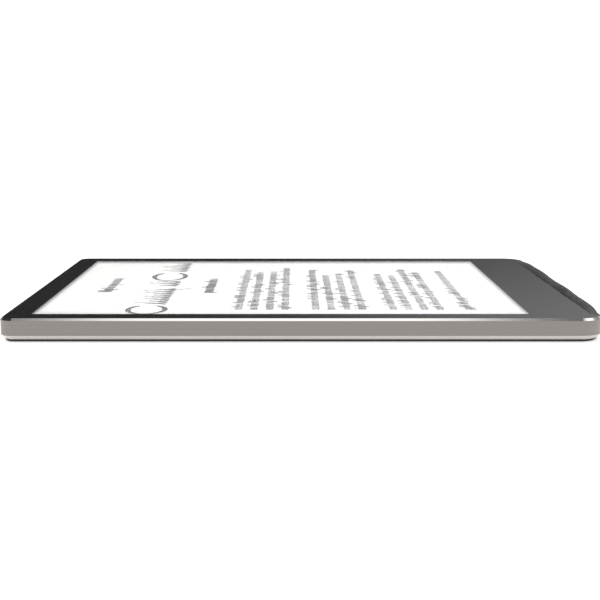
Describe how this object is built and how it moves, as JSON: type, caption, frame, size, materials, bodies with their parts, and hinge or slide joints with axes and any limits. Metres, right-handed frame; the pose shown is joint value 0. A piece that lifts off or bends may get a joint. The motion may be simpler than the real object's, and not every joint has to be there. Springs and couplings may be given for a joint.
{
  "type": "e-reader",
  "caption": "Slim reading tablet: flush glass over a paper-like display, a chamfered metal side frame, a dark back cover, a strip of page keys and a side power button.",
  "frame": {"origin": "on the back cover's flat face, in the middle of the body's length and width", "axes": "+X from the head of the page to the key end, +Y across the page to its right long side, +Z out through the glass"},
  "size_m": [0.1964, 0.1424, 0.0096],
  "materials": {
    "cover_glass": "gloss",
    "black_ink": "printed, satin",
    "black_tape": "matte",
    "clear_film": "clear",
    "clear_acrylic": "clear",
    "led_strip": "satin",
    "paper_white": "matte",
    "panel_glass": "satin",
    "chip_black": "moulded, matte",
    "grey_foam": "foam",
    "satin_metal": "bead-blasted and anodised, satin",
    "die_cast_plate": "cast, satin",
    "dark_plastic": "moulded, fine texture",
    "circuit_board": "solder mask",
    "spring_steel": "satin",
    "switch_black": "moulded",
    "light_pipe": "frosted",
    "plated_shell": "nickel plated",
    "mesh_cloth": "fine weave",
    "tin_can": "tin plated",
    "ceramic_tan": "fired ceramic",
    "pouch_foil": "laminated foil",
    "white_tape": "foam tape",
    "wire_red": "insulation",
    "cream_plastic": "moulded",
    "amber_film": "polyimide film",
    "screw_steel": "dark plated",
    "key_plastic": "moulded, fine texture"
  },
  "bodies": {
    "device": {"front_glass": "cover_glass", "bezel_ink": "black_ink", "glass_gasket": "black_tape", "touch_sensor": "clear_film", "light_guide": "clear_acrylic", "frontlight_bar": "led_strip", "display_film": "paper_white", "display_backplane": "panel_glass", "display_drivers": "chip_black", "display_cushion": "grey_foam", "mid_frame": "satin_metal", "chassis_plate": "die_cast_plate", "back_cover": "dark_plastic", "key_board": "circuit_board", "key_domes": "spring_steel", "power_switch": "switch_black", "status_light_pipe": "light_pipe", "status_led": "light_pipe", "usb_shell": "plated_shell", "usb_tongue": "switch_black", "speaker": "switch_black", "speaker_gasket": "black_tape", "speaker_mesh": "mesh_cloth", "main_board": "circuit_board", "processor": "chip_black", "memory_chip": "chip_black", "power_chip": "chip_black", "shield_can": "tin_can", "wireless_module": "tin_can", "board_passives": "ceramic_tan", "battery_cell": "pouch_foil", "battery_protector": "circuit_board", "battery_pad": "white_tape", "battery_lead": "wire_red", "battery_plug": "cream_plastic", "battery_socket": "cream_plastic", "display_flex": "amber_film", "display_socket": "switch_black", "touch_flex": "amber_film", "touch_socket": "switch_black", "key_flex": "amber_film", "key_socket": "switch_black", "cover_sensor": "chip_black", "antenna": "amber_film", "chassis_screws": "screw_steel", "board_screws": "screw_steel"},
    "home_key_body": {"home_key": "key_plastic"},
    "page_back_key_body": {"page_back_key": "key_plastic"},
    "page_forward_key_body": {"page_forward_key": "key_plastic"},
    "menu_key_body": {"menu_key": "key_plastic"},
    "power_button_body": {"power_button": "satin_metal"}
  },
  "joints": [
    {"name": "home_press", "type": "slide", "parent": "device", "child": "home_key_body", "axis": [0, 0, -1], "range_m": [0, 0.0003], "stiffness_N_per_m": 3000, "springref_m": -0.0001},
    {"name": "page_back_press", "type": "slide", "parent": "device", "child": "page_back_key_body", "axis": [0, 0, -1], "range_m": [0, 0.0003], "stiffness_N_per_m": 3000, "springref_m": -0.0001},
    {"name": "page_forward_press", "type": "slide", "parent": "device", "child": "page_forward_key_body", "axis": [0, 0, -1], "range_m": [0, 0.0003], "stiffness_N_per_m": 3000, "springref_m": -0.0001},
    {"name": "menu_press", "type": "slide", "parent": "device", "child": "menu_key_body", "axis": [0, 0, -1], "range_m": [0, 0.0003], "stiffness_N_per_m": 3000, "springref_m": -0.0001},
    {"name": "power_press", "type": "slide", "parent": "device", "child": "power_button_body", "axis": [-1, 0, 0], "range_m": [0, 0.0003], "stiffness_N_per_m": 3000, "springref_m": -0.0001}
  ]
}
